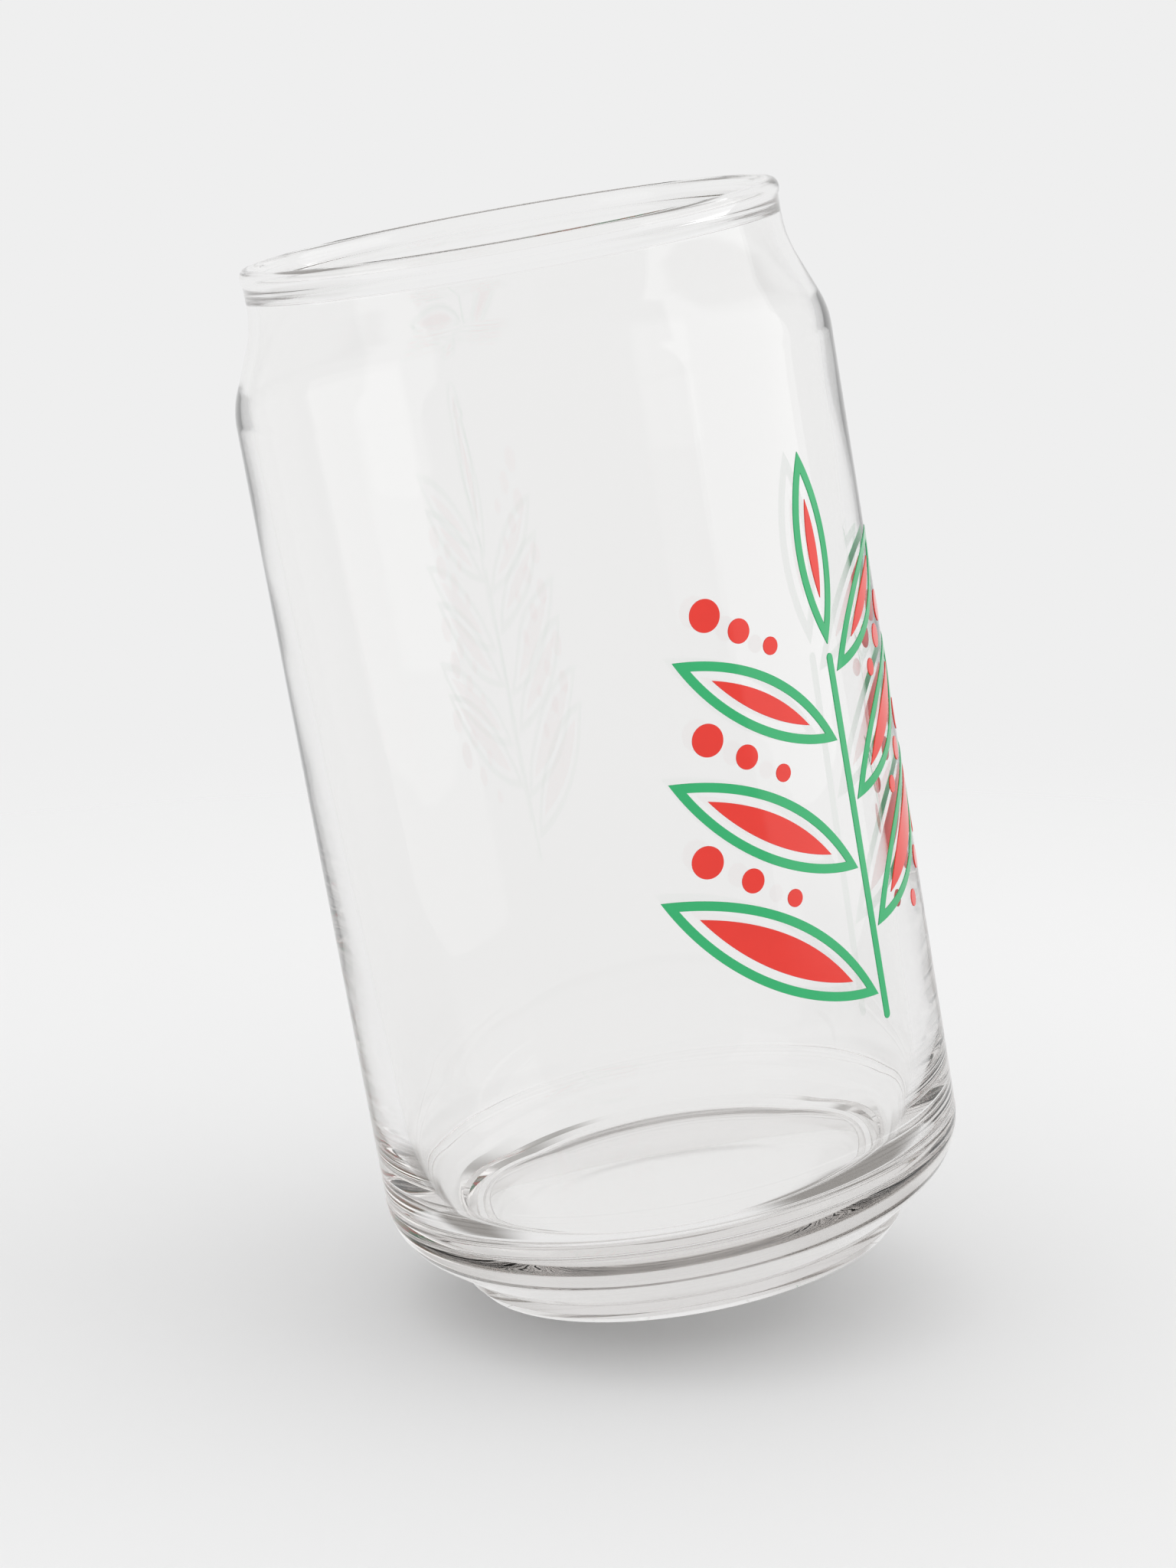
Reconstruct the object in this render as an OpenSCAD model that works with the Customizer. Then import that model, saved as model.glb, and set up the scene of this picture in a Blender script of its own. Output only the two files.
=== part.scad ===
// Drinking glass in the outline of a drinks can, with an enamel print on its front.
// It stands on its foot at z = 0. The axis is Z, and the middle of the print faces -Y.

/* [Glass outside] */
// Height from the table to the top of the rim
height = 133.5; // [124:0.5:150]
// Diameter of the straight body
body_d = 74.6; // [73:0.2:84]
// How far the neck, just under the rim bead, stands in from the body's side
shoulder_in = 3.95; // [3.5:0.05:6]
// Distance from the top of the rim down to the narrowest part of the neck
neck_drop = 4.2; // [3.6:0.1:6]
// Slope of the shoulder, measured from the axis
shoulder_slope = 22.5; // [16:0.5:28]
// Radius where the body turns in to the shoulder
shoulder_round = 11; // [6:0.5:12]
// Radius where the shoulder turns up into the neck
neck_round = 15; // [6:0.5:16]

/* [Rim bead] */
// How far the fire-polished bead stands out of the neck
bead_out = 0.25; // [0.1:0.05:0.5]
// How far the bead stands in from the neck's inner face
bead_in = 0.2; // [0.05:0.05:0.5]
// Height of the bead's rounded section
bead_h = 2.4; // [1.8:0.1:3]

/* [Wall and base] */
// Wall in the neck
neck_wall = 1.35; // [1.1:0.05:1.8]
// Wall at the upper end of the straight body
top_wall = 1.6; // [1.3:0.05:2.2]
// Wall at the lower end of the cavity's side
low_wall = 4; // [2.6:0.1:5]
// Height of the cavity's floor above the table
floor_z = 11.8; // [9:0.1:16]
// Radius where the cavity's side starts to turn in
cavity_round = 9.5; // [6:0.5:12]
// Slope, measured from the axis, at which the tighter radius takes over
cavity_turn = 30; // [20:1:45]
// Radius where the cavity's side meets its floor
floor_round = 4; // [2:0.25:6]

/* [Heel and foot] */
// Radius of the heel
heel_round = 9; // [5:0.5:11]
// Slope of the flank under the heel, measured from the table
flank_slope = 38; // [30:1:45]
// Height of the groove where the flank meets the foot ring
groove_z = 3.1; // [2.6:0.1:4]
// How far the groove stands in from the body's side
groove_in = 8; // [7.3:0.05:8.6]
// How far the foot ring's widest line stands in from the groove
foot_in = 0.65; // [0.3:0.05:1.2]
// Height of the foot ring's widest line
foot_z = 1.6; // [1:0.1:2]
// How far the edge that stands on the table is in from the foot ring's widest line
stand_in = 1.35; // [0.8:0.05:2.4]
// Width of the flat ring that stands on the table
stand_w = 1; // [0.8:0.1:3]
// Height of the hollow under the base at its edge
hollow_edge = 1; // [0.6:0.1:1.6]
// Further rise of the hollow to its middle
hollow_rise = 2.5; // [0.6:0.1:3.5]

/* [Print] */
// Thickness of the fired enamel
ink_t = 0.1; // [0.06:0.01:0.2]
// Width of the drawn lines
line_w = 1.15; // [0.8:0.05:1.2]
// Height of the lower end of the sprig's stem
sprig_z = 32; // [28:1:38]
// Length of the stem
stem_h = 46; // [46:1:58]
// Number of leaves beside the stem
side_leaves = 6; // [3:1:6]
// Length of the lowest leaf
leaf_l = 34; // [24:0.5:34]
// Width of the lowest leaf
leaf_w = 9; // [7.6:0.2:9.4]
// Length of each leaf as a share of the leaf under it
leaf_step = 0.94; // [0.88:0.01:0.96]
// Angle between the stem and its leaves
leaf_lean = 56; // [50:1:60]
// Gap between neighbouring shapes of the print
print_gap = 1.1; // [0.8:0.05:1.3]
// Diameter of the largest berry in each row
berry_d = 4; // [2.8:0.1:4.2]

/* [Hidden] */

$fn = 96;

body_r = body_d / 2;
neck_r = body_r - shoulder_in;
neck_z = height - neck_drop;
groove_r = body_r - groove_in;
foot_r = groove_r - foot_in;
stand_r = foot_r - stand_in;

// Points of an arc about c, from angle a0 to angle a1.
function arc(c, r, a0, a1, steps) =
    [for (i = [0:steps]) let (a = a0 + (a1 - a0) * i / steps) [c.x + r * cos(a), c.y + r * sin(a)]];
// Points of an upright ellipse's arc about c, with half width w and half height h.
function oval(c, w, h, a0, a1, steps) =
    [for (i = [0:steps]) let (a = a0 + (a1 - a0) * i / steps) [c.x + w * cos(a), c.y + h * sin(a)]];

// Shoulder: two arcs joined by a straight slope, which spans what the arcs leave of the step in.
function slope_len(step_in, both_rounds) =
    (step_in - both_rounds * (1 - cos(shoulder_slope))) / sin(shoulder_slope);
function shoulder_span(step_in, both_rounds) =
    both_rounds * sin(shoulder_slope) + slope_len(step_in, both_rounds) * cos(shoulder_slope);
shoulder_z = neck_z - shoulder_span(shoulder_in, shoulder_round + neck_round);

// Heel: the flank runs from the groove up to the heel's arc, which ends upright on the body.
heel_c = let (turn_r = body_r - heel_round * (1 - sin(flank_slope)))
    [body_r - heel_round,
     groove_z + (turn_r - groove_r) * tan(flank_slope) + heel_round * cos(flank_slope)];

// Inner wall: it keeps the neck's centre of curvature and follows the shoulder at its own wall.
in_neck_r = neck_r - neck_wall;
in_neck_round = neck_round + neck_wall;
in_top_r = body_r - top_wall;
in_round = shoulder_round - top_wall;
in_shoulder_z = neck_z - shoulder_span(in_top_r - in_neck_r, in_round + in_neck_round);
in_low_r = body_r - low_wall;

// Bottom of the cavity: a wide arc turns the side in, and a tighter one runs level into the floor.
side_low_z = floor_z + floor_round * (1 - sin(cavity_turn)) + cavity_round * sin(cavity_turn);
side_c = [in_low_r - cavity_round, side_low_z];
floor_c = [side_c.x + (cavity_round - floor_round) * cos(cavity_turn), floor_z + floor_round];
draft = atan((in_top_r - in_low_r) / (in_shoulder_z - side_low_z));

// Rim bead: an oval section on top of the neck's wall, from where the oval leaves the neck.
bead_half = (neck_wall + bead_out + bead_in) / 2;
bead_c = [neck_r + bead_out - bead_half, height - bead_h / 2];
leave_out = acos((neck_r - bead_c.x) / bead_half);
leave_in = acos((in_neck_r - bead_c.x) / bead_half);

// Hollow under the base: a shallow dome inside the standing ring.
hollow_r = stand_r - stand_w - hollow_edge;
dome_r = (hollow_r * hollow_r + hollow_rise * hollow_rise) / (2 * hollow_rise);
dome_half = asin(hollow_r / dome_r);

// Half section, from the hollow's middle over the foot, the outside, the rim and the cavity.
underside = concat(
    arc([0, hollow_edge + hollow_rise - dome_r], dome_r, 90, 90 - dome_half, 10),
    [[stand_r - stand_w, 0]]);
outside = concat(
    [[stand_r, 0], [foot_r, foot_z], [groove_r, groove_z]],
    arc(heel_c, heel_round, flank_slope - 90, 0, 14),
    arc([body_r - shoulder_round, shoulder_z], shoulder_round, 0, shoulder_slope, 8),
    arc([neck_r + neck_round, neck_z], neck_round, 180 + shoulder_slope, 180, 8));
bead = oval(bead_c, bead_half, bead_h / 2, -leave_out, 360 - leave_in, 26);
inside = concat(
    arc([neck_r + neck_round, neck_z], in_neck_round, 180, 180 + shoulder_slope, 8),
    arc([in_top_r - in_round, in_shoulder_z], in_round, shoulder_slope, -draft, 8),
    arc(side_c, cavity_round, -draft, -cavity_turn, 8),
    arc(floor_c, floor_round, -cavity_turn, -90, 8),
    [[0, floor_z]]);

module glass_body() {
    color([0.86, 0.88, 0.87, 0.4])
        rotate_extrude() polygon(concat(underside, outside, bead, inside));
}

// Leaf shape: the overlap of two circles, both drawn in by inset.
module leaf(l, w, inset = 0) {
    r = (l * l + w * w) / (4 * w);
    intersection() {
        translate([r - w / 2, 0]) circle(r - inset);
        translate([w / 2 - r, 0]) circle(r - inset);
    }
}
module leaf_line(l, w) {
    difference() {
        leaf(l, w);
        leaf(l, w, line_w);
    }
}
module leaf_fill(l, w) {
    leaf(l, w, line_w + print_gap);
}

// Lays a flat shape on the body's wall, u along the girth and z up, turned by turn.
module on_wall(u, z, turn = 0) {
    rotate([0, 0, u / body_r * 180 / PI])
        translate([0, 0, z])
            rotate([90, 0, 0])
                rotate([0, 0, turn])
                    linear_extrude(body_r + 2 * ink_t) children();
}

// Keeps only what lies in the enamel's thin layer.
module enamel() {
    layer_h = height - sprig_z;
    intersection() {
        difference() {
            translate([0, 0, sprig_z]) cylinder(h = layer_h, r = body_r + ink_t);
            translate([0, 0, sprig_z - 1]) cylinder(h = layer_h + 2, r = body_r);
        }
        union() children();
    }
}

// Sprig: leaves leave the stem on alternate sides and shorten upwards, under one at the tip.
foot_run = 3.5;
tip_run = 2.5;
stem_gap = line_w / 2 + print_gap / 2;
leaf_pitch = (stem_h - foot_run - tip_run) / (side_leaves - 1);
function side(i) = i % 2 == 0 ? -1 : 1;
function leaf_share(i) = pow(leaf_step, i);
function site_z(i) = sprig_z + foot_run + leaf_pitch * i;
tip_l = leaf_l * leaf_share(side_leaves);
tip_w = leaf_w * leaf_share(side_leaves);
tip_z = sprig_z + stem_h + print_gap + tip_l / 2;

// Puts a shape at the distance out along the leaning line that leaves the stem at height z.
module lean(s, z, out) {
    on_wall(s * (stem_gap + out * sin(leaf_lean)), z + out * cos(leaf_lean), -s * leaf_lean) children();
}

module green_print() {
    color([0.16, 0.69, 0.42]) enamel() {
        on_wall(0, sprig_z + stem_h / 2) square([line_w, stem_h], center = true);
        for (i = [0:side_leaves - 1]) {
            l = leaf_l * leaf_share(i);
            lean(side(i), site_z(i), l / 2) leaf_line(l, leaf_w * leaf_share(i));
        }
        on_wall(0, tip_z) leaf_line(tip_l, tip_w);
    }
}

// Berries lie in a row between two leaves of one side and grow towards the leaves' tips.
berry_shares = [0.55, 0.75, 1];
berry_out = 0.42;
berry_run = 0.2;

module red_print() {
    color([0.91, 0.19, 0.14]) enamel() {
        for (i = [0:side_leaves - 1]) {
            l = leaf_l * leaf_share(i);
            lean(side(i), site_z(i), l / 2) leaf_fill(l, leaf_w * leaf_share(i));
            for (k = [0:2])
                lean(-side(i), site_z(i), l * (berry_out + berry_run * k)) circle(d = berry_d * berry_shares[k]);
        }
        on_wall(0, tip_z) leaf_fill(tip_l, tip_w);
    }
}

glass_body();
green_print();
red_print();
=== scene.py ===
"""Looks of a clear can-shaped beer glass with an enamelled sprig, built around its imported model.

Lengths are in metres. The glass stands at z = 0 with its axis on Z, and the middle of its print faces -Y.
"""

import bpy
import numpy as np
from bpy.props import FloatProperty, FloatVectorProperty, IntProperty, PointerProperty
from mathutils import Matrix, Vector


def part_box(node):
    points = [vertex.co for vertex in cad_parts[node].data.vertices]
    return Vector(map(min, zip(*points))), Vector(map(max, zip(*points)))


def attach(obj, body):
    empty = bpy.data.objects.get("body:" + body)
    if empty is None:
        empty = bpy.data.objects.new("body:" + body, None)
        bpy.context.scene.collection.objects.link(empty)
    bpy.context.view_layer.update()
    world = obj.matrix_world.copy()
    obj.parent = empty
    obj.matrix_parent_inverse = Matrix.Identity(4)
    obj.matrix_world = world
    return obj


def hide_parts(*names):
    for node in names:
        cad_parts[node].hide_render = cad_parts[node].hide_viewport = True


bl_info = {
    "name": "Can-shaped beer glass",
    "version": (1, 0, 0),
    "blender": (4, 5, 0),
    "location": "View3D > Sidebar > Beer glass",
    "description": "Builds a clear beer glass with an enamelled sprig, and a pale stage for it",
    "category": "Object",
}

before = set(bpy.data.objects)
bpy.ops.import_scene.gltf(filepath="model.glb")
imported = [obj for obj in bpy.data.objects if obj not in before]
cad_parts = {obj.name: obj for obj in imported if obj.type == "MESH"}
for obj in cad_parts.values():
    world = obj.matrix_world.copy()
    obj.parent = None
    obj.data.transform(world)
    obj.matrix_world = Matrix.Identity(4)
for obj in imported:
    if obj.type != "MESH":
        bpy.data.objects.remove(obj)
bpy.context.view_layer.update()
GLASS_LOW, GLASS_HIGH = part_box("glass_body")

# Optics
REFRACTION = 1.5  # Refractive index of the glass and of the enamel
LONG_WAY = (0.12, 0.05, 0.0)  # Tint of what is left of light after a long way through the glass
WARM = (1.0, 0.95, 0.9)  # Tint of the dimmer room

# Steps of the outlines' arcs, of the wall between the heel and its upper line, and of the enamel's edge
HEEL_STEPS = 90
BEAD_STEPS = 48
BASE_STEPS = 24
SHOULDER_STEPS = 12
WALL_STEPS = 7
CORNER_STEPS = 6
LEAF_STEPS = 40
BAR_STEPS = 24
BERRY_STEPS = 48
EDGE_STEPS = 4

# Berries: diameters as shares of the largest, then the first one's way out along the leaning line and
# the step to each next one, as shares of the leaf's length
BERRY_SHARES = (0.55, 0.75, 1)
BERRY_OUT = 0.42
BERRY_RUN = 0.2

# Softboxes: their distance from the glass, and the height on its axis that they face
LAMP_AWAY = 0.9
LAMP_AIM = 0.07

# Floor: half its width, its corners on each side, and the distances between which it fades out
FLOOR_HALF = 1.5
FLOOR_CORNERS = 48
FADE_START = 0.15
FADE_END = 0.40


# Properties

def length(name, description, default):
    """A size that the panel shows as a length."""
    return FloatProperty(name=name, description=description, default=default, min=0.0,
                         unit="LENGTH", subtype="DISTANCE", precision=5)


def angle(name, description, degrees):
    """An angle that is given here in degrees."""
    return FloatProperty(name=name, description=description, default=np.radians(degrees), unit="ROTATION",
                         subtype="ANGLE")


def amount(name, description, default):
    """A plain number, such as a share or a strength."""
    return FloatProperty(name=name, description=description, default=default)


def colour(name, description, default):
    """A colour in linear values."""
    return FloatVectorProperty(name=name, description=description, default=default, size=3,
                               min=0.0, max=1.0, subtype="COLOR")


class GlassSizes(bpy.types.PropertyGroup):
    """Sizes of the glass itself, from the foot to the rim."""

    height: length("Height", "From the table to the top of the rim", GLASS_HIGH.z - GLASS_LOW.z)
    body_d: length("Body diameter", "Diameter of the straight body", GLASS_HIGH.x - GLASS_LOW.x)
    shoulder_in: length("Shoulder step",
                        "How far the neck, just under the rim bead, stands in from the side", 0.00395)
    neck_drop: length("Neck drop", "From the top of the rim down to the narrowest part of the neck", 0.0042)
    shoulder_slope: angle("Shoulder slope", "Slope of the shoulder, measured from the axis", 22.5)
    shoulder_round: length("Shoulder radius", "Radius where the body turns in to the shoulder", 0.011)
    neck_round: length("Neck radius", "Radius where the shoulder turns up into the neck", 0.015)
    bead_out: length("Bead outward", "How far the rim bead stands out of the neck", 0.00025)
    bead_in: length("Bead inward", "How far the rim bead stands in from the neck", 0.0002)
    bead_h: length("Bead height", "Height of the rim bead's section", 0.0024)
    neck_wall: length("Neck wall", "Wall in the neck", 0.00135)
    top_wall: length("Upper wall", "Wall at the upper end of the straight body", 0.0016)
    low_wall: length("Lower wall", "Wall at the lower end of the cavity's side", 0.00382)
    floor_z: length("Cavity floor", "Height of the cavity's floor above the table", 0.0118)
    lead_round: length("Lead radius", "Wide radius by which the cavity's side starts to turn in", 0.06)
    lead_turn: angle("Lead turn", "Slope off upright at which the cavity radius takes over", 10)
    cavity_round: length("Cavity radius", "Radius where the cavity's side turns inwards", 0.0085)
    cavity_turn: angle("Cavity turn", "Slope off upright at which the floor radius takes over", 30)
    floor_round: length("Floor radius", "Radius where the cavity's side meets its floor", 0.0035)
    heel_round: length("Heel radius", "Radius of the heel", 0.009)
    flank_slope: angle("Flank slope", "Slope of the flank under the heel, measured from the table", 38)
    groove_z: length("Groove height", "Height of the groove over the foot ring", 0.0031)
    groove_in: length("Groove step", "How far the groove over the foot ring stands in from the side", 0.008)
    foot_in: length("Foot step", "How far the foot ring's widest line stands in from the groove", 0.00065)
    foot_z: length("Foot height", "Height of the foot ring's widest line", 0.0016)
    stand_in: length("Standing step",
                     "How far the standing edge is in from the foot ring's widest line", 0.00135)
    stand_w: length("Standing width", "Width of the flat ring that stands on the table", 0.001)
    hollow_edge: length("Hollow edge", "Height of the hollow under the base at its edge", 0.001)
    hollow_rise: length("Hollow rise", "Further rise of the hollow to its middle", 0.0025)
    edge_round: length("Edge radius", "Radius that softens each edge of the foot", 0.0004)
    line_high: length("Upper mould line", "Height of the upper fine line round the heel", 0.01395)
    line_low: length("Lower mould line", "Height of the lower fine line round the heel", 0.0122)
    line_depth: length("Mould line depth", "Depth of the fine lines round the heel", 0.00008)
    line_wide: length("Mould line width", "Half the width of the fine lines round the heel", 0.00035)
    haze: amount("Haze", "Roughness of the glass surface", 0.01)
    clear: amount("Clearness", "Share of the light that each surface lets through unscattered", 1.0)
    absorb: amount("Absorption", "Light that the glass takes up, for each metre", 4.0)
    turns: IntProperty(name="Turns", description="Steps round the axis", default=256, min=24)


class PrintSizes(bpy.types.PropertyGroup):
    """Sizes and colours of the enamelled sprig."""

    ink_t: length("Enamel", "Thickness of the fired enamel", 0.0001)
    line_w: length("Line width", "Width of the drawn lines", 0.00115)
    sprig_z: length("Sprig height", "Height of the lower end of the stem", 0.032)
    stem_h: length("Stem length", "Length of the stem", 0.046)
    foot_run: length("Stem foot", "Bare stem under the lowest leaf", 0.0035)
    tip_run: length("Stem tip", "Bare stem over the highest side leaf", 0.0025)
    side_leaves: IntProperty(name="Side leaves", description="Number of leaves beside the stem",
                             default=6, min=1)
    leaf_l: length("Leaf length", "Length of the lowest leaf", 0.034)
    leaf_w: length("Leaf width", "Width of the lowest leaf", 0.009)
    leaf_step: amount("Leaf step", "Length of each leaf as a share of the leaf under it", 0.94)
    leaf_lean: angle("Leaf lean", "Angle between the stem and its leaves", 56)
    print_gap: length("Gap", "Gap between neighbouring shapes", 0.0011)
    berry_d: length("Berry diameter", "Diameter of the largest berry in each row", 0.004)
    green: colour("Green", "Colour of the green enamel", (0.021, 0.429, 0.150))
    red: colour("Red", "Colour of the red enamel", (0.807, 0.030, 0.017))


class StageSizes(bpy.types.PropertyGroup):
    """The camera, the floor and the light."""

    turn: angle("Turn", "Direction of the camera from the print's middle, round the axis", -50.7)
    pitch: angle("Pitch", "How far the camera looks down", 12.16)
    roll: angle("Roll", "How far the camera leans over", -10.05)
    lens: amount("Lens", "Focal length in millimetres", 85.52)
    place: FloatVectorProperty(name="Place", description="Camera's place before its turn round the axis",
                               default=(-0.00224, -0.46163, 0.16173), size=3, subtype="TRANSLATION")
    pale: colour("Pale", "Colour of the floor and the backdrop", (0.863, 0.863, 0.863))
    fill: amount("Fill", "Strength of the plain light from all round", 1.0)
    room: amount("Room", "Tone of the dimmer room that shows in the glass, low at the sides", 0.28)
    dim_side: amount("Dim sides", "Sideways share of a direction from which the room is dim", 0.32)
    dim_low: amount("Dim low", "Downward share of a direction from which the room is dim", 0.5)
    dim_deep: amount("Dim downward limit",
                     "Downward share of a direction beyond which the room is pale again", 0.86)
    dim_back: amount("Dim back", "Backward share of a direction up to which the room is dim", 0.15)
    through: amount("Through", "Share of the plain light that reaches the floor through the glass", 0.85)
    soft: amount("Soft edge", "Width of the dim room's soft edges, as a share of a direction", 0.12)
    left_power: amount("Left lamp", "Power of the left softbox in watts", 0.4)
    right_power: amount("Right lamp", "Power of the right softbox in watts", 1.4)
    floor_gap: length("Floor gap", "Gap between the floor and the lowest point of the glass", 0.002)
    bounces: IntProperty(name="Bounces", description="How often light may turn inside the glass",
                         default=32, min=4)


# Shader maths

class Value:
    """A socket that Python's operators turn into Math nodes."""

    def __init__(self, shader, socket):
        self.shader = shader
        self.socket = socket

    def maths(self, operation, *values):
        return self.shader.node("Math", {"operation": operation}, dict(enumerate(values)))

    def __add__(self, other):
        return self.maths("ADD", self, other)

    def __radd__(self, other):
        return self.maths("ADD", other, self)

    def __rsub__(self, other):
        return self.maths("SUBTRACT", other, self)

    def __mul__(self, other):
        return self.maths("MULTIPLY", self, other)

    def __rmul__(self, other):
        return self.maths("MULTIPLY", other, self)

    def clamp(self):
        return self.shader.node("Clamp", {}, {0: self})


class Shader:
    """A material's or the world's node tree."""

    def __init__(self, tree):
        self.tree = tree
        tree.nodes.clear()

    def node(self, kind, settings, inputs, output=0):
        """Adds a node of that type, sets it up, feeds its sockets and returns one of its outputs."""
        made = self.tree.nodes.new("ShaderNode" + kind)
        for name, value in settings.items():
            setattr(made, name, value)
        for name, value in inputs.items():
            if isinstance(value, Value):
                self.tree.links.new(value.socket, made.inputs[name])
            elif hasattr(value, "__len__") and made.inputs[name].type == "RGBA":
                made.inputs[name].default_value = (*value, 1.0)
            else:
                made.inputs[name].default_value = value
        return Value(self, made.outputs[output]) if made.outputs else None

    def place(self):
        """Where the shaded point is on the piece, in metres."""
        return self.node("TexCoord", {}, {}, "Object")

    def light_path(self, output):
        """What kind of ray is shaded, or how often it was scattered."""
        return self.node("LightPath", {}, {}, output)

    def noise(self, at, scale, detail=2.0):
        """Smooth noise of about that many waves for each metre."""
        return self.node("TexNoise", {}, {"Vector": at, "Scale": scale, "Detail": detail})

    def blend(self, factor, first, second):
        """Mixes two colours."""
        return self.node("Mix", {"data_type": "RGBA"}, {0: factor, 6: first, 7: second}, 2)

    def bump(self, height, distance):
        """A normal that leans as if the surface rose by distance where height is 1."""
        return self.node("Bump", {}, {"Height": height, "Distance": distance})


def new_material(name):
    """A material with an empty node tree, and the helper that fills it."""
    material = bpy.data.materials.new(name)
    material.use_nodes = True
    return material, Shader(material.node_tree)


def glass_material(haze, clear, absorb):
    """Clear glass with slight waves in its surface, which greys where light goes a long way in it."""
    material, shader = new_material("clear_glass")
    at = shader.place()
    waves = shader.noise(at, 55.0, 1.0)
    surface = shader.node("BsdfPrincipled", {}, {
        "Base Color": shader.blend(shader.noise(at, 30.0), (0.997, 0.996, 0.993),
                                   (0.992, 0.991, 0.988)),
        "Roughness": shader.noise(at, 90.0) * haze,
        "IOR": REFRACTION,
        "Transmission Weight": clear,
        "Normal": shader.bump(waves, 0.00008),
    })
    inside = shader.node("VolumeAbsorption", {}, {"Color": LONG_WAY, "Density": absorb})
    shader.node("OutputMaterial", {}, {"Surface": surface, "Volume": inside})
    return material


def enamel_material(name, shade, wall_r, ink_t):
    """Fired enamel of that colour, glossy and slightly uneven outside.

    Where it meets the glass it has no gloss, and glows faintly in its own colour: painted light that stands
    in for light coming through the thin enamel from outside.
    """
    material, shader = new_material(name)
    at = shader.place()
    cloud = shader.noise(at, 260.0, 3.0)
    grain = shader.noise(at, 2600.0, 2.0)
    deep = tuple(0.9 * part for part in shade)
    colour = shader.blend(cloud, deep, shade)
    front = shader.node("BsdfPrincipled", {}, {
        "Base Color": colour,
        "Roughness": 0.06 + 0.08 * cloud,
        "IOR": REFRACTION,
        "Normal": shader.bump(grain, 0.000004),
    })
    # The side against the glass: matt, with a faint emission in the enamel's own colour, a painted glow in
    # place of light that comes through the enamel.
    back = shader.node("BsdfPrincipled", {}, {
        "Base Color": colour,
        "Roughness": 1.0,
        "Specular IOR Level": 0.0,
        "Emission Color": colour,
        "Emission Strength": 0.3,
    })
    flat = shader.node("VectorMath", {"operation": "MULTIPLY"}, {0: at, 1: (1, 1, 0)})
    from_axis = shader.node("VectorMath", {"operation": "LENGTH"}, {0: flat}, "Value")
    outside = shader.node("MapRange", {}, {0: from_axis, 1: wall_r, 2: wall_r + ink_t / 4})
    surface = shader.node("MixShader", {}, {0: outside, 1: back, 2: front})
    shader.node("OutputMaterial", {}, {"Surface": surface})
    return material


# Surfaces

def arc(centre, radius, start, end, steps, side=1):
    """Points on a circle about centre with their normals, one row (r, z, normal r, normal z) each.

    The normal points away from the centre, or towards it where side is -1.
    """
    a = np.linspace(start, end, steps + 1)
    away = np.stack([np.cos(a), np.sin(a)], 1)
    return np.hstack([np.array(centre) + radius * away, side * away])


def oval(centre, half_width, half_height, start, end, steps, side=1):
    """Points on an upright ellipse with their normals, in rows as arc() gives them."""
    a = np.linspace(start, end, steps + 1)
    away = np.stack([np.cos(a) / half_width, np.sin(a) / half_height], 1)
    away /= np.linalg.norm(away, axis=1)[:, None]
    points = np.array(centre) + np.stack([half_width * np.cos(a), half_height * np.sin(a)], 1)
    return np.hstack([points, side * away])


def corner(before, tip, after, radius, steps):
    """The arc that rounds the corner at tip between the straight lines to before and after.

    Its centre lies on the corner's bisector, and it touches both lines. The outline is walked with the
    glass on its left.
    """
    before, tip, after = (np.array(p, float) for p in (before, tip, after))
    come, go = tip - before, after - tip
    come, go = come / np.linalg.norm(come), go / np.linalg.norm(go)
    bend = np.arctan2(come[0] * go[1] - come[1] * go[0], come @ go)
    side = np.sign(bend)
    reach = radius * np.tan(abs(bend) / 2)
    left = np.array([-come[1], come[0]])
    centre = tip - come * reach + side * radius * left
    start = np.arctan2(*(-side * left)[::-1])
    return arc(centre, radius, start, start + bend, steps, side)


def ripple(rows, height, depth, half_width):
    """Presses a fine rounded groove into the outside at that height.

    The depth falls off from its middle as the square of (1 - t squared), t being the distance over the half
    width, and each normal tilts with the groove's slope.
    """
    t = np.clip((rows[:, 1] - height) / half_width, -1, 1)
    drop = depth * (1 - t ** 2) ** 2
    tilt = 4 * depth / half_width * t * (1 - t ** 2)
    normal = rows[:, 2:]
    along = normal @ np.array([[0, 1], [-1, 0]])
    turned = normal - tilt[:, None] * along
    turned /= np.linalg.norm(turned, axis=1)[:, None]
    return np.hstack([rows[:, :2] - drop[:, None] * normal, turned])


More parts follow.
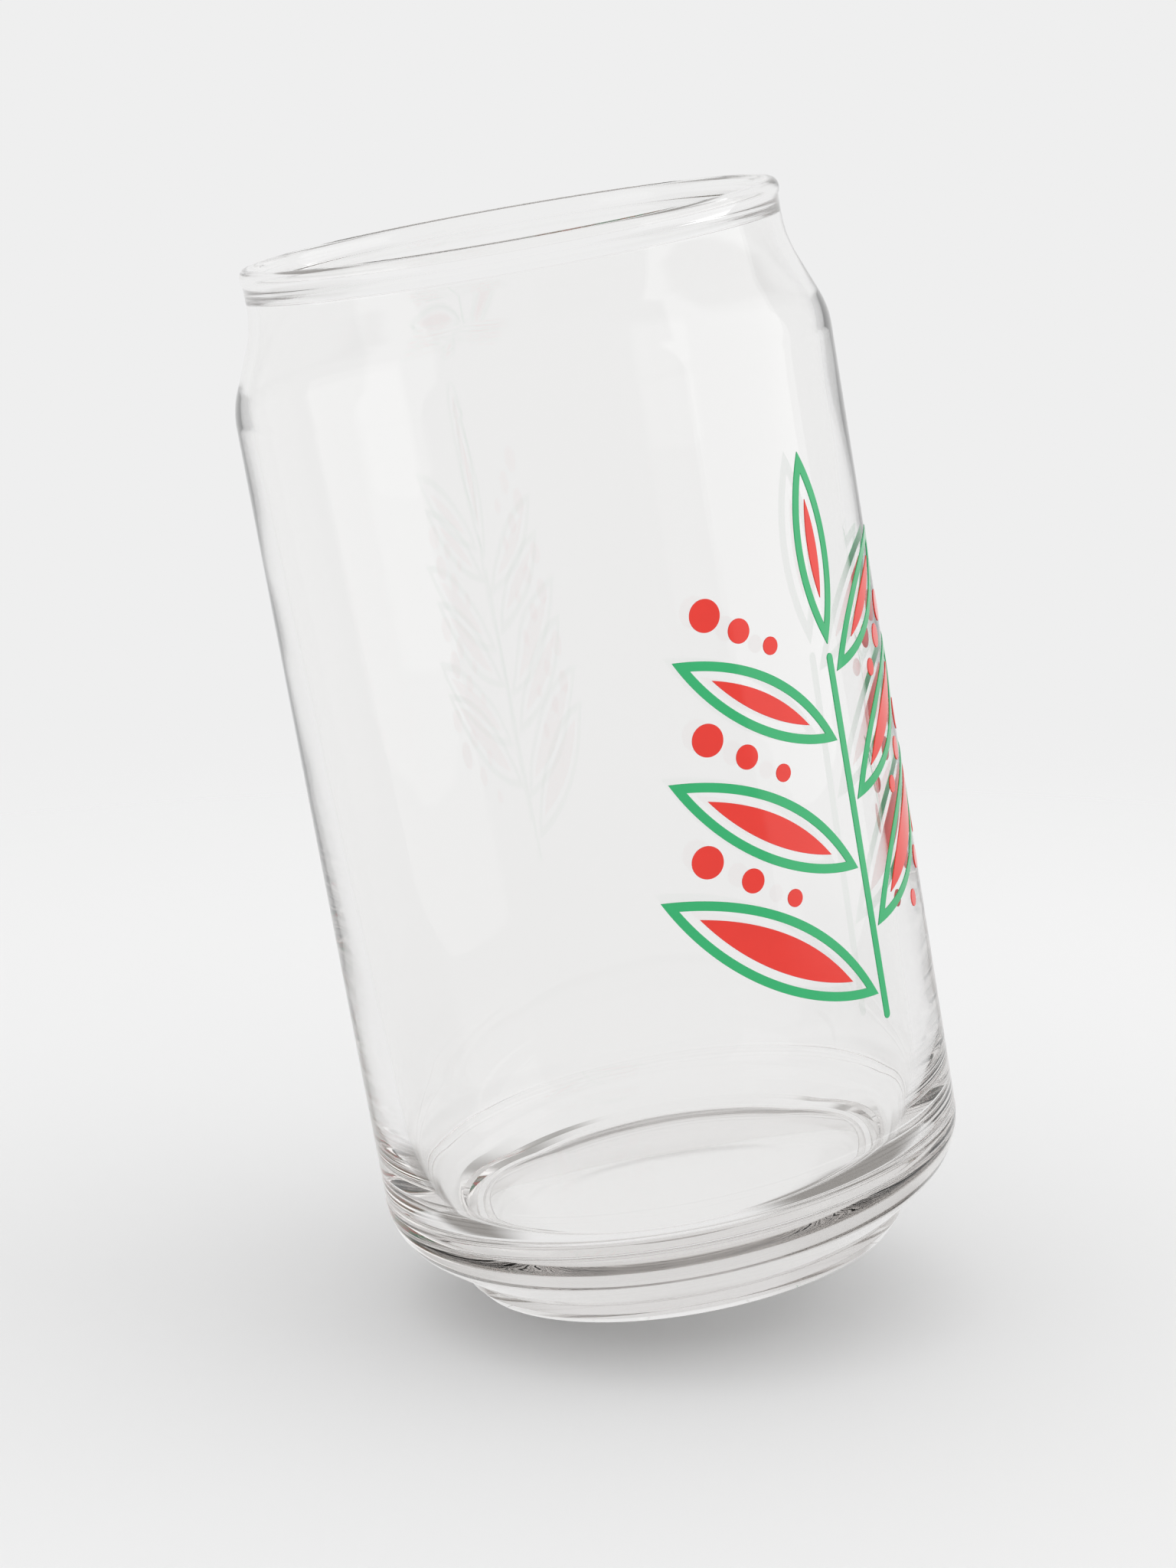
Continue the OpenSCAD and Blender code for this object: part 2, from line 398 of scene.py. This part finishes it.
def glass_profile(s):
    """The glass's outline: from the middle of its underside up the outside, over the rim, down the cavity.

    Every stretch is an arc, and the straight walls are what lies between two arcs.
    """
    body_r = s.body_d / 2
    neck_r = body_r - s.shoulder_in
    groove_r = body_r - s.groove_in
    foot_r = groove_r - s.foot_in
    stand_r = foot_r - s.stand_in
    neck_z = s.height - s.neck_drop
    slope = s.shoulder_slope

    def shoulder_span(step_in, both_rounds):
        straight = (step_in - both_rounds * (1 - np.cos(slope))) / np.sin(slope)
        return both_rounds * np.sin(slope) + straight * np.cos(slope)

    shoulder_z = neck_z - shoulder_span(s.shoulder_in, s.shoulder_round + s.neck_round)
    turn_r = body_r - s.heel_round * (1 - np.sin(s.flank_slope))
    heel_z = (s.groove_z + (turn_r - groove_r) * np.tan(s.flank_slope)
              + s.heel_round * np.cos(s.flank_slope))
    heel = arc((body_r - s.heel_round, heel_z), s.heel_round, s.flank_slope - np.pi / 2, 0, HEEL_STEPS)
    wall_z = np.linspace(heel_z, s.line_high + s.line_wide, WALL_STEPS + 1)[1:]
    ones = np.ones(WALL_STEPS)
    heel = np.vstack([heel, np.stack([body_r * ones, wall_z, ones, 0 * ones], 1)])
    for line in (s.line_low, s.line_high):
        heel = ripple(heel, line, s.line_depth, s.line_wide)

    in_neck_r = neck_r - s.neck_wall
    in_neck_round = s.neck_round + s.neck_wall
    in_top_r = body_r - s.top_wall
    in_round = s.shoulder_round - s.top_wall
    in_shoulder_z = neck_z - shoulder_span(in_top_r - in_neck_r, in_round + in_neck_round)
    in_low_r = body_r - s.low_wall
    side_low_z = (s.floor_z + s.floor_round + (s.cavity_round - s.floor_round) * np.sin(s.cavity_turn)
                  + (s.lead_round - s.cavity_round) * np.sin(s.lead_turn))
    draft = np.arctan2(in_top_r - in_low_r, in_shoulder_z - side_low_z)

    bead_half = (s.neck_wall + s.bead_out + s.bead_in) / 2
    bead_c = (neck_r + s.bead_out - bead_half, s.height - s.bead_h / 2)
    leave_out = np.arccos((neck_r - bead_c[0]) / bead_half)
    leave_in = np.arccos((in_neck_r - bead_c[0]) / bead_half)

    hollow_r = stand_r - s.stand_w - s.hollow_edge
    dome_r = (hollow_r ** 2 + s.hollow_rise ** 2) / (2 * s.hollow_rise)
    dome_half = np.arcsin(hollow_r / dome_r)
    dome_c = (0, s.hollow_edge + s.hollow_rise - dome_r)
    dome = arc(dome_c, dome_r, np.pi / 2, np.pi / 2 - dome_half, BASE_STEPS, -1)
    foot = [dome[-2, :2], (hollow_r, s.hollow_edge), (stand_r - s.stand_w, 0), (stand_r, 0),
            (foot_r, s.foot_z), (groove_r, s.groove_z), heel[0, :2]]
    corners = [corner(*foot[i - 1:i + 2], s.edge_round, CORNER_STEPS) for i in range(1, len(foot) - 1)]

    cavity = []
    centre, radius, start = np.array([in_low_r - s.lead_round, side_low_z]), s.lead_round, -draft
    turns = (s.lead_turn, s.cavity_round), (s.cavity_turn, s.floor_round), (np.pi / 2, 0)
    for turn, tighter in turns:
        cavity.append(arc(centre, radius, start, -turn, BASE_STEPS, -1))
        centre = centre + (radius - tighter) * np.array([np.cos(turn), -np.sin(turn)])
        radius, start = tighter, -turn
    floor = np.array([[0, s.floor_z, 0, 1.0]])
    return np.vstack([
        dome[:-1], *corners, heel,
        arc((body_r - s.shoulder_round, shoulder_z), s.shoulder_round, 0, slope, SHOULDER_STEPS),
        arc((neck_r + s.neck_round, neck_z), s.neck_round, np.pi + slope, np.pi, SHOULDER_STEPS, -1),
        oval(bead_c, bead_half, s.bead_h / 2, -leave_out, 2 * np.pi - leave_in, BEAD_STEPS),
        arc((neck_r + s.neck_round, neck_z), in_neck_round, np.pi, np.pi + slope, SHOULDER_STEPS),
        arc((in_top_r - in_round, in_shoulder_z), in_round, slope, -draft, SHOULDER_STEPS, -1),
        cavity[0], cavity[1][1:], cavity[2][1:], floor])


def new_piece(name, points, faces, material, normals=None):
    """A smooth mesh object from points and face rows, with exact normals where they are given."""
    mesh = bpy.data.meshes.new(name)
    mesh.from_pydata(points, [], faces)
    mesh.shade_smooth()
    if normals is not None:
        mesh.normals_split_custom_set_from_vertices(normals)
    mesh.materials.append(material)
    piece = bpy.data.objects.new(name, mesh)
    bpy.context.scene.collection.objects.link(piece)
    return piece


def revolve(rows, turns):
    """Turns a profile round Z: a point is (r cos a, r sin a, z), and the first and last rows are poles.

    Returns the points, the faces and the normals.
    """
    a = np.linspace(0, 2 * np.pi, turns, endpoint=False)
    ring = rows[1:-1]
    spin = np.stack([np.cos(a), np.sin(a)], 1)

    def turned(r, z):
        flat = r[:, None, None] * spin[None]
        high = np.broadcast_to(z[:, None, None], (*flat.shape[:2], 1))
        return np.concatenate([flat, high], 2).reshape(-1, 3)

    points = np.vstack([turned(ring[:, 0], ring[:, 1]), [[0, 0, rows[0, 1]], [0, 0, rows[-1, 1]]]])
    normals = np.vstack([turned(ring[:, 2], ring[:, 3]), [[0, 0, rows[0, 3]], [0, 0, rows[-1, 3]]]])
    j = np.arange(turns)
    after = np.roll(j, -1)
    i = np.arange(len(ring) - 1)[:, None] * turns
    quads = np.stack([i + j, i + after, i + turns + after, i + turns + j], 2).reshape(-1, 4)
    last = (len(ring) - 1) * turns
    low_pole, high_pole = len(points) - 2, len(points) - 1
    low = np.stack([np.full(turns, low_pole), after, j], 1)
    high = np.stack([np.full(turns, high_pole), last + j, last + after], 1)
    return points, [*quads.tolist(), *low.tolist(), *high.tolist()], normals


class BEER_GLASS_OT_body(bpy.types.Operator):
    """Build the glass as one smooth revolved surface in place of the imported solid"""

    bl_idname = "beer_glass.body"
    bl_label = "Glass body"

    def execute(self, context):
        sizes = context.scene.beer_glass_sizes
        points, faces, normals = revolve(glass_profile(sizes), sizes.turns)
        material = glass_material(sizes.haze, sizes.clear, sizes.absorb)
        piece = new_piece("clear_glass_body", points, faces, material, normals)
        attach(piece, "root")
        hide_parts("glass_body")
        return {"FINISHED"}


# Print

def leaf_outline(leaf_length, leaf_width, inset=0.0):
    """Outline of the overlap of two circles drawn in by inset, anticlockwise from its lower tip."""
    r = (leaf_length ** 2 + leaf_width ** 2) / (4 * leaf_width)
    offset = r - leaf_width / 2
    small = r - inset
    half = np.arccos(offset / small)
    a = np.linspace(-half, half, LEAF_STEPS + 1)[:-1]
    right = np.stack([small * np.cos(a) - offset, small * np.sin(a)], 1)
    return np.vstack([right, -right])


def bar_outline(bar_length, bar_width):
    """Outline of an upright bar with round ends, anticlockwise."""
    a = np.linspace(0, np.pi, BAR_STEPS + 1)
    cap = bar_width / 2 * np.stack([np.cos(a), np.sin(a)], 1) + [0, (bar_length - bar_width) / 2]
    return np.vstack([cap, -cap])


def spine(outline):
    """The point of a leaf's or a bar's long axis beside each point of its outline."""
    high = np.abs(outline[:, 1]).max() - np.abs(outline[:, 0]).max()
    return np.stack([np.zeros(len(outline)), np.clip(outline[:, 1], -high, high)], 1)


def edge_rows(outline, side, ink_t):
    """Rows of a patch from its top, over a rounded edge, down into the wall.

    The edge is a quarter circle of radius e: at angle t a point lies e (1 - cos t) inside the outline at
    the height ink_t - e + e sin t, with the normal (cos t, sin t). side is -1 round a hole. A row is the
    flat points, the height and the flat and the upright part of the normal.
    """
    edge, bury = 0.6 * ink_t, 0.5 * ink_t
    along = np.roll(outline, -1, 0) - np.roll(outline, 1, 0)
    along /= np.linalg.norm(along, axis=1)[:, None]
    out = side * np.stack([along[:, 1], -along[:, 0]], 1)
    rows = [(outline - edge * (1 - np.cos(t)) * out, ink_t - edge + edge * np.sin(t),
             np.cos(t) * out, np.sin(t)) for t in np.linspace(np.pi / 2, 0, EDGE_STEPS + 1)]
    return [*rows, (outline, -bury, out, 0.0)]


def enamel_piece(name, patches, wall_r, ink_t, material):
    """Lays flat patches on the wall as one mesh: (u, v) goes to (r sin(u/R), -r cos(u/R), v).

    A patch is its outline and an inner outline, point by point, in metres along the girth and up, and
    whether the inner one is a hole. Where it is none, it is the patch's spine and lies level with its top.
    """
    points, normals, faces, count = [], [], [], 0
    for outline, inner, hole in patches:
        rows = edge_rows(outline, 1, ink_t)
        if hole:
            rows = [*edge_rows(inner, -1, ink_t)[::-1], *rows]
        else:
            level = np.zeros_like(inner)
            rows = [(inner, ink_t, level, 1.0), *rows, (inner, rows[-1][1], level, -1.0)]
        flat = np.stack([row[0] for row in rows])
        r = wall_r + np.array([row[1] for row in rows])[:, None]
        out = np.stack([row[2] for row in rows])
        up = np.array([row[3] for row in rows])[:, None]
        a = flat[..., 0] / wall_r
        points.append(np.stack([r * np.sin(a), -r * np.cos(a), flat[..., 1]], 2).reshape(-1, 3))
        normals.append(np.stack([up * np.sin(a) + out[..., 0] * np.cos(a),
                                 out[..., 0] * np.sin(a) - up * np.cos(a), out[..., 1]], 2).reshape(-1, 3))
        m, n = flat.shape[:2]
        i = np.arange(m if hole else m - 1)
        j = np.arange(n)
        near, far = i[:, None] * n, (i[:, None] + 1) % m * n
        after = (j + 1) % n
        faces.append(count + np.stack([near + j, far + j, far + after, near + after], 2).reshape(-1, 4))
        count += m * n
    points, normals, faces = (np.vstack(part) for part in (points, normals, faces))
    _, first, same = np.unique(points.round(9), axis=0, return_index=True, return_inverse=True)
    faces = same.reshape(-1)[faces]
    halves = np.vstack([faces[:, [0, 1, 2]], faces[:, [0, 2, 3]]])
    whole = (halves != np.roll(halves, 1, 1)).all(1)
    return new_piece(name, points[first], halves[whole].tolist(), material, normals[first])


def sprig(s):
    """The patches of the sprig: first the green ones, then the red ones."""
    stem_gap = s.line_w / 2 + s.print_gap / 2
    pitch = (s.stem_h - s.foot_run - s.tip_run) / (s.side_leaves - 1)
    c, w = np.cos(s.leaf_lean), np.sin(s.leaf_lean)
    stem = bar_outline(s.stem_h, s.line_w)
    up = [0, s.sprig_z + s.stem_h / 2]
    green, red = [(stem + up, spine(stem) + up, False)], []

    def leaning(shape, side, z, out):
        turn = np.array([[c, -side * w], [side * w, c]])
        return shape @ turn + [side * (stem_gap + out * w), z + out * c]

    for i in range(s.side_leaves + 1):
        size = s.leaf_step ** i
        long, wide = s.leaf_l * size, s.leaf_w * size
        outer, inner = leaf_outline(long, wide), leaf_outline(long, wide, s.line_w)
        fill = leaf_outline(long, wide, s.line_w + s.print_gap)
        shapes = outer, inner, fill, spine(fill)
        side = -1 if i % 2 == 0 else 1
        z = s.sprig_z + s.foot_run + pitch * i
        if i < s.side_leaves:
            outer, inner, fill, middle = (leaning(shape, side, z, long / 2) for shape in shapes)
            t = np.linspace(0, 2 * np.pi, BERRY_STEPS, endpoint=False)
            for k, share in enumerate(BERRY_SHARES):
                ring = s.berry_d / 2 * share * np.stack([np.cos(t), np.sin(t)], 1)
                out = long * (BERRY_OUT + BERRY_RUN * k)
                red.append((leaning(ring, -side, z, out), leaning(0 * ring, -side, z, out), False))
        else:
            tip = [0, s.sprig_z + s.stem_h + s.print_gap + long / 2]
            outer, inner, fill, middle = (shape + tip for shape in shapes)
        green.append((outer, inner, True))
        red.append((fill, middle, False))
    return green, red


def print_operator(context, index, name, node, slot, shade):
    """Lays the sprig's green patches, index 0, or its red ones, index 1, in place of that node."""
    sizes = context.scene.beer_glass_print
    wall_r = context.scene.beer_glass_sizes.body_d / 2
    material = enamel_material(slot, shade, wall_r, sizes.ink_t)
    piece = enamel_piece(name, sprig(sizes)[index], wall_r, sizes.ink_t, material)
    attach(piece, "root")
    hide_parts(node)


class BEER_GLASS_OT_green(bpy.types.Operator):
    """Lay the green lines of the sprig on the glass"""

    bl_idname = "beer_glass.green"
    bl_label = "Green enamel"

    def execute(self, context):
        print_operator(context, 0, "green_enamel_lines", "green_print", "green_enamel",
                       context.scene.beer_glass_print.green)
        return {"FINISHED"}


class BEER_GLASS_OT_red(bpy.types.Operator):
    """Lay the red fills of the sprig on the glass"""

    bl_idname = "beer_glass.red"
    bl_label = "Red enamel"

    def execute(self, context):
        print_operator(context, 1, "red_enamel_fills", "red_print", "red_enamel",
                       context.scene.beer_glass_print.red)
        return {"FINISHED"}


# Stage

def camera_turn(stage):
    """The camera's rotation: turned round the axis, pitched down and leant over."""
    return (Matrix.Rotation(stage.turn, 3, "Z") @ Matrix.Rotation(np.pi / 2 - stage.pitch, 3, "X")
            @ Matrix.Rotation(stage.roll, 3, "Z"))


def add_camera(stage):
    """The camera that sees the glass as the photograph does."""
    camera = bpy.data.objects.new("camera", bpy.data.cameras.new("camera"))
    bpy.context.scene.collection.objects.link(camera)
    camera.data.lens = stage.lens
    camera.data.clip_start = 0.01
    camera.matrix_world = (Matrix.Translation(Matrix.Rotation(stage.turn, 3, "Z") @ Vector(stage.place))
                           @ camera_turn(stage).to_4x4())
    bpy.context.scene.camera = camera


def add_lamp(name, azimuth, elevation, width, height, power, turn):
    """A soft rectangular lamp that faces the glass from a direction counted from the camera's side."""
    lamp = bpy.data.lights.new(name, "AREA")
    lamp.shape = "RECTANGLE"
    lamp.size, lamp.size_y = width, height
    lamp.energy = power
    lit = bpy.data.objects.new(name, lamp)
    bpy.context.scene.collection.objects.link(lit)
    a, e = azimuth + turn, elevation
    away = Vector((np.sin(a) * np.cos(e), -np.cos(a) * np.cos(e), np.sin(e)))
    lit.matrix_world = (Matrix.Translation(Vector((0, 0, LAMP_AIM)) + LAMP_AWAY * away)
                        @ away.to_track_quat("Z", "Y").to_matrix().to_4x4())
    lit.visible_camera = False


def upright(stage):
    """The direction that is upright in the photograph, which the glass leans away from."""
    turned = camera_turn(stage)
    return turned @ Vector((0, np.cos(stage.pitch), np.sin(stage.pitch)))


def add_floor(stage, sizes):
    """A pale floor that faces the photograph's own upright, just under the lowest point of the glass.

    It fades out with distance, and glass and gloss show the backdrop in its place.
    """
    right = camera_turn(stage) @ Vector((1, 0, 0))
    normal = upright(stage)
    rows = glass_profile(sizes)
    sideways = Vector((normal.x, normal.y)).length
    low = (rows[:, 1] * normal.z - rows[:, 0] * sideways).min() - stage.floor_gap
    frame_axes = Matrix((right, normal.cross(right), normal)).transposed()
    n = FLOOR_CORNERS
    edge = np.linspace(-FLOOR_HALF, FLOOR_HALF, n)
    x, y = np.meshgrid(edge, edge, indexing="ij")
    flat = np.stack([x.ravel(), y.ravel(), np.full(x.size, low)], 1) @ np.array(frame_axes).T
    i, j = np.meshgrid(np.arange(n - 1), np.arange(n - 1), indexing="ij")
    start = (i * n + j).ravel()
    faces = np.stack([start, start + n, start + n + 1, start + 1], 1)
    material, shader = new_material("pale_floor")
    far = shader.node("VectorMath", {"operation": "LENGTH"}, {0: shader.place()}, "Value")
    gone = shader.node("MapRange", {"interpolation_type": "SMOOTHSTEP"},
                       {0: far, 1: FADE_START, 2: FADE_END})
    under = shader.node("NewGeometry", {}, {}, "Backfacing")
    mirrored = shader.light_path("Is Glossy Ray") + shader.light_path("Is Transmission Ray")
    pale = shader.node("BsdfDiffuse", {}, {"Color": tuple(stage.pale)})
    clear = shader.node("BsdfTransparent", {}, {})
    surface = shader.node("MixShader", {}, {0: (gone + under + mirrored).clamp(), 1: pale, 2: clear})
    shader.node("OutputMaterial", {}, {"Surface": surface})
    floor = new_piece("floor", flat, faces.tolist(), material)


def add_world(stage):
    """Plain light all round, and a pale backdrop for the camera and for what glass and gloss show.

    What glass and gloss show is dim and warm low at both sides. Rays that the floor scattered into the
    glass meet the plain light instead, less the share that the glass keeps back.
    """
    world = bpy.data.worlds.new("studio")
    bpy.context.scene.world = world
    world.use_nodes = True
    shader = Shader(world.node_tree)
    direction = shader.node("TexCoord", {}, {}, "Generated")
    up = upright(stage)
    right = (camera_turn(stage) @ Vector((1, 0, 0))).cross(up).cross(-up).normalized()

    def share_along(axis):
        return shader.node("VectorMath", {"operation": "DOT_PRODUCT"}, {0: direction, 1: axis}, "Value")

    def past(value, limit):
        return shader.node("MapRange", {"interpolation_type": "SMOOTHSTEP"},
                           {0: value, 1: limit - stage.soft / 2, 2: limit + stage.soft / 2})

    sideways, down, back = (share_along(axis) for axis in (right, -up, right.cross(up)))
    dim = (past(sideways.maths("ABSOLUTE", sideways), stage.dim_side) * past(down, stage.dim_low)
           * (1.0 - past(down, stage.dim_deep)) * (1.0 - past(back, stage.dim_back)))
    seen = shader.blend(dim, tuple(stage.pale), tuple(stage.room * share for share in WARM))
    mirrored = (shader.light_path("Is Glossy Ray") + shader.light_path("Is Transmission Ray")).clamp()
    scattered = shader.light_path("Diffuse Depth").clamp()
    flat = shader.blend(shader.light_path("Is Camera Ray"), (stage.fill,) * 3, tuple(stage.pale))
    mirror = shader.blend(scattered, seen, (stage.fill * stage.through,) * 3)
    shade = shader.blend(mirrored, flat, mirror)
    light = shader.node("Background", {}, {"Color": shade, "Strength": 1.0})
    shader.node("OutputWorld", {}, {"Surface": light})


class BEER_GLASS_OT_stage(bpy.types.Operator):
    """Add the camera, the floor, the lamps and the backdrop"""

    bl_idname = "beer_glass.stage"
    bl_label = "Stage"

    def execute(self, context):
        stage = context.scene.beer_glass_stage
        add_camera(stage)
        add_floor(stage, context.scene.beer_glass_sizes)
        add_world(stage)
        for name, azimuth, elevation, width, height, power in (
                ("left softbox", -58, 15, 0.45, 0.8, stage.left_power),
                ("right softbox", 84, 10, 0.95, 0.9, stage.right_power)):
            add_lamp(name, np.radians(azimuth), np.radians(elevation), width, height, power, stage.turn)
        context.scene.view_settings.view_transform = "Standard"
        for kind in ("max_bounces", "transmission_bounces", "glossy_bounces"):
            setattr(context.scene.cycles, kind, stage.bounces)
        return {"FINISHED"}


class BEER_GLASS_PT_sidebar(bpy.types.Panel):
    """Lists the sizes and the steps that build the glass"""

    bl_label = "Beer glass"
    bl_idname = "BEER_GLASS_PT_sidebar"
    bl_space_type = "VIEW_3D"
    bl_region_type = "UI"
    bl_category = "Beer glass"

    def draw(self, context):
        for step in STEPS:
            self.layout.operator(step.bl_idname)
        for group in GROUPS:
            box = self.layout.box()
            for name in GROUPS[group].__annotations__:
                box.prop(getattr(context.scene, group), name)


GROUPS = {"beer_glass_sizes": GlassSizes, "beer_glass_print": PrintSizes, "beer_glass_stage": StageSizes}
STEPS = (BEER_GLASS_OT_body, BEER_GLASS_OT_green, BEER_GLASS_OT_red, BEER_GLASS_OT_stage)
CLASSES = (*GROUPS.values(), *STEPS, BEER_GLASS_PT_sidebar)


def register():
    """Adds the classes, and the groups of sizes to every scene."""
    for made in CLASSES:
        bpy.utils.register_class(made)
    for name, group in GROUPS.items():
        setattr(bpy.types.Scene, name, PointerProperty(type=group))


def unregister():
    """Takes away what register() adds."""
    for name in GROUPS:
        delattr(bpy.types.Scene, name)
    for made in reversed(CLASSES):
        bpy.utils.unregister_class(made)


def main():
    """Builds the pieces and the stage in order."""
    register()
    bpy.ops.beer_glass.body()
    bpy.ops.beer_glass.green()
    bpy.ops.beer_glass.red()
    bpy.ops.beer_glass.stage()


if __name__ == "__main__":
    main()
